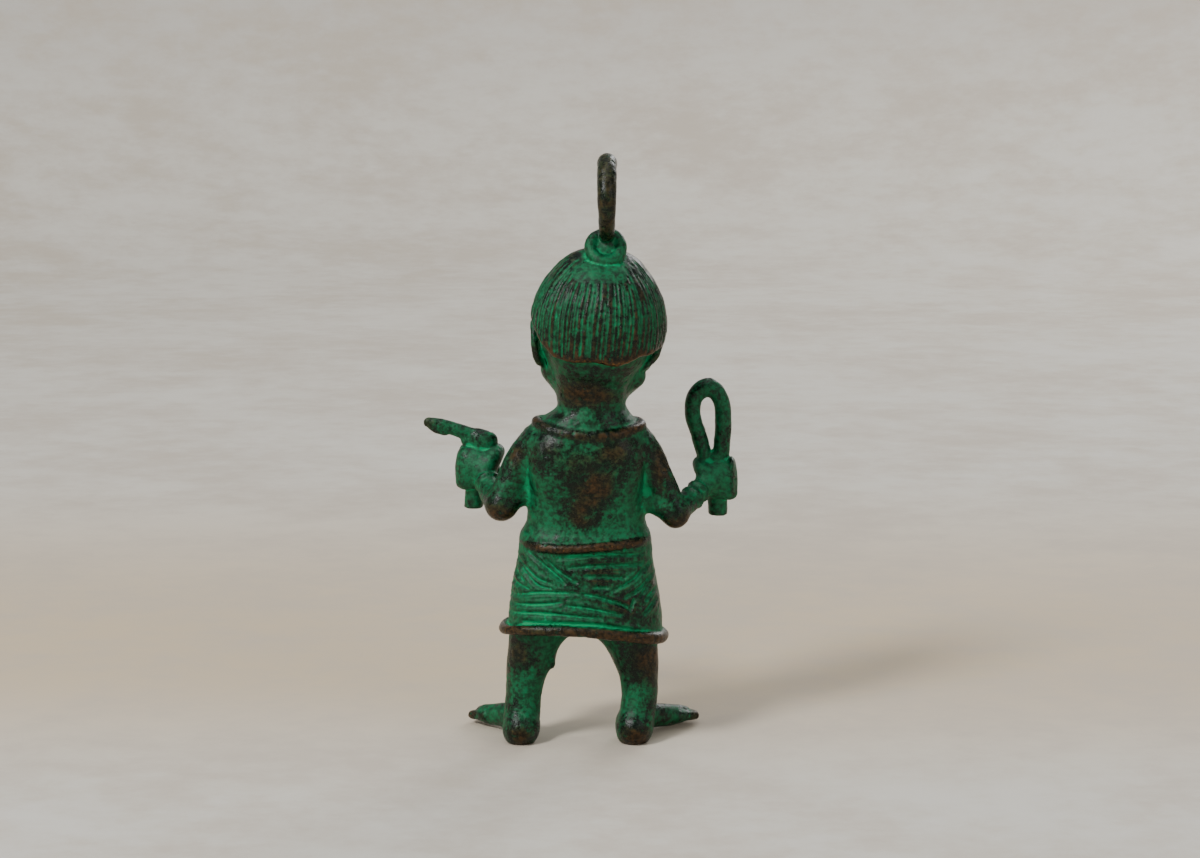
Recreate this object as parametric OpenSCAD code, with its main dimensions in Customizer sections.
// Small cast brass standing figure with a ribbed cap of hair, a hanging loop on the crown,
// a hooked knife in one fist and a looped cord in the other, wearing a wrapped cloth.
// The figure faces -Y and stands on z = 0. "Left" and "right" are the figure's own.
// Each module is one piece of the wax model, and neighbours meet on a shared surface.

/* [Figure] */

// Height of the waist, where the cloth is tied (mm)
waist_z = 62; // [50:0.5:75]

// Height of the flat top of the chest, under the neck (mm)
chest_top_z = 99; // [90:0.5:108]

// Height of the bottom edge of the cloth at the middle (mm)
hem_z = 33.5; // [25:0.5:45]

// Diameter of the thin rolled edgings at collar and belt (mm)
roll_d = 3; // [2:0.1:4.5]

// Diameter of the rolled edging round the hem (mm)
hem_roll_d = 3.4; // [2:0.1:5]

/* [Head] */

// Sideways lean of the head, towards its own right (degrees)
head_lean = 5; // [0:0.5:12]

// Widest diameter of the hair cap (mm)
hair_d = 40.2; // [34:0.2:46]

// Slope of the hair line, from the forehead down to the nape (degrees)
hair_line_slope = 22; // [0:1:35]

// Height of the hair line above the neck joint, over the ears (mm)
hair_line_h = 18; // [12:0.5:24]

/* [Hanging loop] */

// Outside diameter of the loop (mm)
loop_d = 27.6; // [18:0.2:36]

// Thickness of the loop's bar (mm)
loop_bar_d = 5.4; // [3:0.1:7]

// Outside diameter of the ring round the foot of the loop (mm)
crown_ring_d = 12.8; // [9:0.1:18]

/* [Trunk and legs] */

// Half depth of the chest (mm)
chest_r = 12.2; // [9:0.1:16]

// Half depth of the cloth at the hem (mm)
hem_r = 15.6; // [12:0.1:20]

// Radius of the shin (mm)
shin_r = 5.4; // [4:0.1:8]

// Height of the foot at the heel (mm)
foot_h = 6; // [4:0.5:9]

// Length of each foot, heel to toes (mm)
foot_l = 33; // [24:0.5:40]

/* [Held things] */

// Thickness of the knife's grip (mm)
grip_d = 5; // [3:0.1:7]

// Length of the blade from its root in the guard (mm)
blade_l = 14.6; // [12:0.2:24]

// Thickness of the blade (mm)
blade_t = 2.6; // [1.5:0.1:4]

// Thickness of the looped cord (mm)
cord_d = 5; // [3:0.1:6]

// Outside width of the cord loop (mm)
cord_loop_w = 14; // [12:0.2:20]

/* [Hidden] */

$fn = 48;

// Joints of the limbs
left_shoulder = [13.5, 0, 90];
left_elbow = [23.5, 1.5, 73.5];
left_wrist = [28.3, -11, 79.5];
left_fist = [31.5, -15.5, 81.3];
right_shoulder = [-18, 0, 90];
right_elbow = [-29, 1.5, 71.5];
right_wrist = [-37.2, -10, 76];
right_fist = [-41.5, -14.5, 78.2];
left_hip = [14.3, 0, 36];
left_ankle = [17.2, 2, foot_h];
right_hip = [-16.2, 0, 36];
right_ankle = [-18.3, 2, foot_h];
neck_at = [-3.6, 0.5, 108];
chest_x = -2.2;
cloth_x = -1.5;
fist_h = 13;
loop_r = (loop_d - loop_bar_d) / 2;
hair_r = hair_d / 2;
cord_r = (cord_loop_w - cord_d) / 2;
cord_top_z = 102;

// Which piece to make: "all", or one of the names above

// ---- helpers ----

// One point of a smooth curve through a list of points
function curve_at(p, i, t) =
  let (a = p[max(i - 1, 0)], b = p[i], c = p[i + 1], d = p[min(i + 2, len(p) - 1)])
  0.5 * (2 * b + (c - a) * t + (2 * a - 5 * b + 4 * c - d) * t * t + (3 * b - a - 3 * c + d) * t * t * t);

// A smooth curve through a list of points, in n steps a span
function curve(p, n = 3) = concat([for (i = [0:len(p) - 2], k = [0:n - 1]) curve_at(p, i, k / n)], [p[len(p) - 1]]);

// The half outline of a turned piece, closed on its axis
function turned(p) = concat([[0, p[0][1]]], curve(p), [[0, p[len(p) - 1][1]]]);

// A half outline stretched sideways: a turned piece cut in two and moved apart by 2 * g
module barrel(outline, g) {
  translate([g, 0, 0])
    rotate([0, 0, -90])
      rotate_extrude(angle = 180)
        polygon(outline);
  translate([-g, 0, 0])
    rotate([0, 0, 90])
      rotate_extrude(angle = 180)
        polygon(outline);
  translate([-g, 0, 0])
    rotate([90, 0, 90])
      linear_extrude(2 * g) {
        polygon(outline);
        mirror([1, 0])
          polygon(outline);
      }
}

// A rolled edging: a round bar bent into a ring with two straight sides 2 * g long
module roll(r, g, d) {
  for (s = [-1, 1])
    translate([s * g, 0, 0])
      rotate([0, 0, -s * 90])
        rotate_extrude(angle = 180)
          translate([r, 0])
            circle(d = d);
  for (s = [-1, 1])
    translate([-g, s * r, 0])
      rotate([0, 90, 0])
        cylinder(d = d, h = 2 * g);
}

// Turns the Z axis to run from a to b
module along(a, b) {
  d = b - a;
  translate(a)
    rotate([0, acos(d[2] / norm(d)), atan2(d[1], d[0])])
      children();
}

// A tapered limb with a domed start, ending flat unless it is domed too
module limb(a, b, ra, rb, domed = [true, true]) {
  l = norm(b - a);
  start = domed[0] ? [for (k = [0:5]) [ra * cos(90 - 18 * k), -ra * sin(90 - 18 * k)]] : [[0, 0], [ra, 0]];
  end = domed[1] ? [for (k = [0:5]) [rb * cos(18 * k), l + rb * sin(18 * k)]] : [[rb, l], [0, l]];
  along(a, b)
    rotate_extrude()
      polygon(concat(start, end));
}

module head_frame() {
  translate(neck_at)
    rotate([0, -head_lean, 0])
      children();
}

// Everything above the hair line, in the head's own frame
module above_hair_line() {
  translate([0, 0, hair_line_h])
    rotate([-hair_line_slope, 0, 0])
      translate([-40, -40, 0])
        cube([80, 80, 60]);
}

// The plane of the hem, a little higher at the back and at the figure's left
module hem_frame() {
  translate([cloth_x, 0, hem_z])
    rotate([5, -2.6, 0])
      children();
}

// ---- solid shapes that neighbours are fitted to ----

module hair_shape() {
  rotate_extrude()
    polygon(turned([
      [hair_r - 2.4, 7], [hair_r - 1, 12], [hair_r, 18.5], [hair_r - 0.2, 24], [hair_r - 1.4, 28],
      [hair_r - 4, 33], [hair_r - 8.2, 38.3], [hair_r - 13.5, 41.8], [hair_r - 18, 43.4]
    ]));
}

module skull_shape() {
  rotate_extrude()
    polygon(turned([
      [10.9, 0], [11.8, 2], [13.6, 5.5], [15.6, 9.5], [17, 14], [hair_r - 2, 19], [hair_r - 1.8, 25],
      [hair_r - 3.8, 31], [hair_r - 9, 36]
    ]));
  translate([0, -7.6, 8])
    sphere(r = 11.5);
}

module neck_shape() {
  translate([-3.4, 0, chest_top_z])
    rotate_extrude()
      polygon(turned([[11.6, 0], [10.8, 2.5], [10.5, 5], [10.7, 8], [11, 13]]));
}

module chest_shape() {
  translate([chest_x, 0, 0])
    barrel(turned([
      [chest_r - 0.2, waist_z], [chest_r - 0.6, 68], [chest_r - 0.2, 76], [chest_r + 0.3, 84],
      [chest_r + 0.2, 91], [chest_r - 0.5, 95.5], [chest_r - 2, chest_top_z]
    ]), 6);
}

module cloth_shape() {
  translate([cloth_x, 0, 0])
    barrel(turned([[hem_r, 25], [hem_r, hem_z - 2], [hem_r - 0.2, 40], [hem_r - 1.6, 50], [11.8, waist_z]]), 7.6);
}

module left_upper_arm_shape() {
  limb(left_shoulder, left_elbow, 5.6, 4.6);
}

module right_upper_arm_shape() {
  limb(right_shoulder, right_elbow, 5.6, 4.4);
}

// A closed fist: four fingers stacked up a grip, with the back of the hand towards the wrist
module fist_shape(r, palm) {
  finger = fist_h / 4;
  translate([0, 0, -fist_h / 2])
    rotate_extrude()
      polygon(concat([[0, 0]],
        [for (i = [0:3], k = [0:4]) [r - 0.9 + 0.9 * sin(45 * k), (i + k / 4.4 + 0.05) * finger]],
        [[0, fist_h]]));
  translate(palm)
    sphere(r = r - 1);
}

module left_fist_shape() {
  translate(left_fist)
    fist_shape(6.1, [-2.2, 2.4, 0.3]);
}

module right_fist_shape() {
  translate(right_fist)
    fist_shape(5.9, [2.4, 2.4, 0]);
}

module grip_at(p, d, below, above) {
  translate(p - [0, 0, below])
    cylinder(d = d, h = below + above);
}

// A foot with a flat sole: heel at the origin, toes along +X, sloping down from the instep
module foot_shape(w) {
  intersection() {
    linear_extrude(foot_h)
      polygon(curve([
        [-5, 0], [-4.2, -3.2], [-1, -4.9], [4, -5], [12, -4.8], [20, -4.6], [foot_l - 7, -3.2], [foot_l - 5, 0],
        [foot_l - 7, 3.6], [20, w], [12, 5.2], [4, 5], [-1, 4.9], [-4.2, 3.2], [-5, 0]
      ], 2));
    translate([0, 20, 0])
      rotate([90, 0, 0])
        linear_extrude(40)
          polygon([
            [-6, 0], [-6, foot_h - 2], [-4.6, foot_h], [8.5, foot_h], [13, foot_h - 1.2],
            [20, foot_h - 2.4], [foot_l - 5, 1.4], [foot_l - 5, 0]
          ]);
  }
}

// ---- head ----

module hanging_loop() {
  color("saddlebrown")
    difference() {
      translate([-8.1, 1.5, 178.5 - loop_d / 2])
        rotate([0, 90, 0])
          rotate_extrude()
            translate([loop_r, 0])
              circle(d = loop_bar_d);
      crown_ring_shape();
      head_frame()
        hair_shape();
    }
}

module crown_ring_shape() {
  translate([-7.7, 2.6, 150.4])
    rotate([-34, 0, 0])
      rotate_extrude()
        polygon(curve([
          [0, -3.5], [4.6, -3.2], [crown_ring_d / 2 - 0.3, -2], [crown_ring_d / 2, -0.2],
          [crown_ring_d / 2 - 0.7, 1.5], [4.4, 2.1], [3, 1.2], [0, 0.6]
        ], 2));
}

module crown_ring() {
  color("seagreen")
    difference() {
      crown_ring_shape();
      head_frame()
        hair_shape();
    }
}

module hair_cap() {
  color("darkslategray")
    head_frame()
      intersection() {
        hair_shape();
        above_hair_line();
      }
}

module head() {
  color("seagreen")
    difference() {
      head_frame()
        difference() {
          skull_shape();
          above_hair_line();
        }
      neck_shape();
    }
}

module nose() {
  color("seagreen")
    head_frame()
      difference() {
        limb([0, -18.6, 20.5], [0, -19.8, 12.4], 1.3, 2.5);
        skull_shape();
      }
}

module lips() {
  color("seagreen")
    head_frame()
      difference() {
        limb([-3.6, -18.3, 6.4], [3.6, -18.3, 6.4], 2.1, 2.1);
        skull_shape();
      }
}

module eye(side) {
  color("seagreen")
    head_frame()
      difference() {
        limb([side * 6, -13, 18.2], [side * 7.4, -16.8, 18.2], 2.4, 2.4);
        skull_shape();
      }
}

module left_eye() {
  eye(1);
}

module right_eye() {
  eye(-1);
}

module ear(side) {
  color("mediumseagreen")
    head_frame()
      difference() {
        translate([side * 16.9, -1, 11])
          rotate([0, side * 16, 0])
            rotate([90, 0, side * 90])
              difference() {
                ear_plate(1, -4, 6);
                ear_plate(0.62, 1, 3);
              }
        skull_shape();
        intersection() {
          hair_shape();
          above_hair_line();
        }
      }
}

// A flat oval, wide end up
module ear_plate(size, from, h) {
  translate([0, 0, from])
    linear_extrude(h)
      polygon(size * curve([
        [0, 6.8], [3.2, 5.7], [4.3, 2.6], [3.7, -1], [2.9, -4.4], [1.5, -6.4],
        [-1.2, -6.5], [-2.7, -4.6], [-3.6, -1], [-4.2, 2.6], [-3.1, 5.7], [0, 6.8]
      ], 2));
}

module left_ear() {
  ear(1);
}

module right_ear() {
  ear(-1);
}

// ---- trunk ----

module neck() {
  color("sienna")
    difference() {
      neck_shape();
      translate([-30, -30, neck_at[2] + 1.5])
        cube([60, 60, 20]);
    }
}

module collar_roll() {
  color("saddlebrown")
    difference() {
      translate([-2.9, 0, 97.4])
        rotate([-6, 0, 0])
          roll(10.6, 4.7, roll_d);
      chest_shape();
      neck_shape();
      left_upper_arm_shape();
      right_upper_arm_shape();
    }
}

module torso() {
  color("seagreen")
    chest_shape();
}

module belt_roll() {
  color("saddlebrown")
    difference() {
      translate([-1.9, 0, waist_z])
        roll(12.2, 7, roll_d);
      chest_shape();
      cloth_shape();
    }
}

module wrap_skirt() {
  color("seagreen")
    difference() {
      cloth_shape();
      hem_frame()
        translate([-40, -40, -40])
          cube([80, 80, 40]);
    }
}

module hem_roll() {
  color("saddlebrown")
    difference() {
      hem_frame()
        roll(hem_r - 0.1, 7.9, hem_roll_d);
      wrap_skirt();
      leg_shapes();
    }
}

// ---- arms and what they hold ----

module left_upper_arm() {
  color("sienna")
    difference() {
      left_upper_arm_shape();
      chest_shape();
    }
}

module right_upper_arm() {
  color("sienna")
    difference() {
      right_upper_arm_shape();
      chest_shape();
    }
}

module left_forearm() {
  color("seagreen")
    difference() {
      limb(left_elbow, left_wrist, 4.3, 3.6, [false, false]);
      left_upper_arm_shape();
      left_fist_shape();
    }
}

module right_forearm() {
  color("seagreen")
    difference() {
      limb(right_elbow, right_wrist, 4.1, 3.4, [false, false]);
      right_upper_arm_shape();
      right_fist_shape();
    }
}

module left_hand() {
  color("mediumseagreen")
    difference() {
      left_fist_shape();
      grip_at(left_fist, grip_d, 20, 20);
    }
}

module right_hand() {
  color("mediumseagreen")
    difference() {
      right_fist_shape();
      grip_at(right_fist, cord_d, 20, 20);
    }
}

// The grip of the knife and its swollen butt below the fist
module knife_grip() {
  color("seagreen") {
    grip_at(left_fist, grip_d, fist_h / 2, fist_h / 2);
    grip_at(left_fist - [0, 0, fist_h / 2], grip_d + 1.4, 6.3, 0);
  }
}

module knife_guard() {
  color("seagreen")
    translate(left_fist + [-6.4, -2.8, fist_h / 2])
      rotate([90, 0, 0])
        mirror([0, 0, 1])
          linear_extrude(5.6)
            polygon([[0, 0], [10.6, 0], [10.6, 3.4], [9.4, 5], [0.8, 2.6], [0, 1.6]]);
}

// A leaf-shaped blade that runs out sideways from the guard, with a nick in its lower edge
module knife_blade() {
  color("darkslategray")
    difference() {
      translate(left_fist + [2, blade_t / 2 - 0.4, fist_h / 2 + 2.8])
        rotate([90, -14, 0])
          linear_extrude(blade_t)
            polygon([
              [0, -2.2], [5.6, -2.3], [6.8, -1.4], [8.4, -2.2], [blade_l - 3.6, -2.1], [blade_l - 0.8, -1.2],
              [blade_l, 0.4], [blade_l - 1.4, 1.7], [blade_l - 5, 2.2], [4, 2.3], [0, 2]
            ]);
      knife_guard();
    }
}

module cord_grip() {
  color("seagreen") {
    grip_at(right_fist, cord_d, fist_h / 2, fist_h / 2);
    grip_at(right_fist - [0, 0, fist_h / 2], cord_d + 1.4, 5.2, 0);
  }
}

// The cord, standing up from the fist as a pointed loop with its eye facing front and back
module cord_loop() {
  foot_z = right_fist[2] + fist_h / 2;
  color("seagreen")
    difference() {
      translate([-39.2, right_fist[1], 0]) {
        intersection() {
          translate([0, 0, cord_top_z])
            rotate([90, 0, 0])
              rotate_extrude()
                translate([cord_r, 0])
                  circle(d = cord_d);
          translate([-20, -10, cord_top_z])
            cube([40, 20, 20]);
        }
        for (s = [-1, 1])
          difference() {
            along([s * 2.1, 0, foot_z - 8], [s * (cord_r + 0.2), 0, cord_top_z + 1])
              cylinder(d = cord_d, h = 40);
            translate([-20, -10, cord_top_z])
              cube([40, 20, 40]);
          }
      }
      translate([-60, -40, foot_z - 20])
        cube([50, 50, 20]);
    }
}

// ---- legs ----

module leg_shapes() {
  limb(left_ankle, left_hip, shin_r, 8, [false, false]);
  limb(right_ankle, right_hip, shin_r, 7.6, [false, false]);
}

module leg(hip, ankle, top_r) {
  color("sienna")
    difference() {
      limb(ankle, hip, shin_r, top_r, [false, false]);
      hem_frame()
        translate([-40, -40, 0])
          cube([80, 80, 40]);
      translate([-40, -40, foot_h - 20])
        cube([80, 80, 20]);
    }
}

module left_leg() {
  leg(left_hip, left_ankle, 8);
}

module right_leg() {
  leg(right_hip, right_ankle, 7.6);
}

module left_foot() {
  color("seagreen")
    translate([18.3, 6.4, 0])
      rotate([0, 0, -58])
        foot_shape(4.8);
}

module right_foot() {
  color("seagreen")
    translate([-17.2, 6.4, 0])
      rotate([0, 0, -130])
        foot_shape(4.8);
}

hanging_loop();
crown_ring();
hair_cap();
head();
nose();
lips();
left_eye();
right_eye();
left_ear();
right_ear();
neck();
collar_roll();
torso();
left_upper_arm();
left_forearm();
left_hand();
right_upper_arm();
right_forearm();
right_hand();
knife_grip();
knife_guard();
knife_blade();
cord_grip();
cord_loop();
belt_roll();
wrap_skirt();
hem_roll();
left_leg();
right_leg();
left_foot();
right_foot();
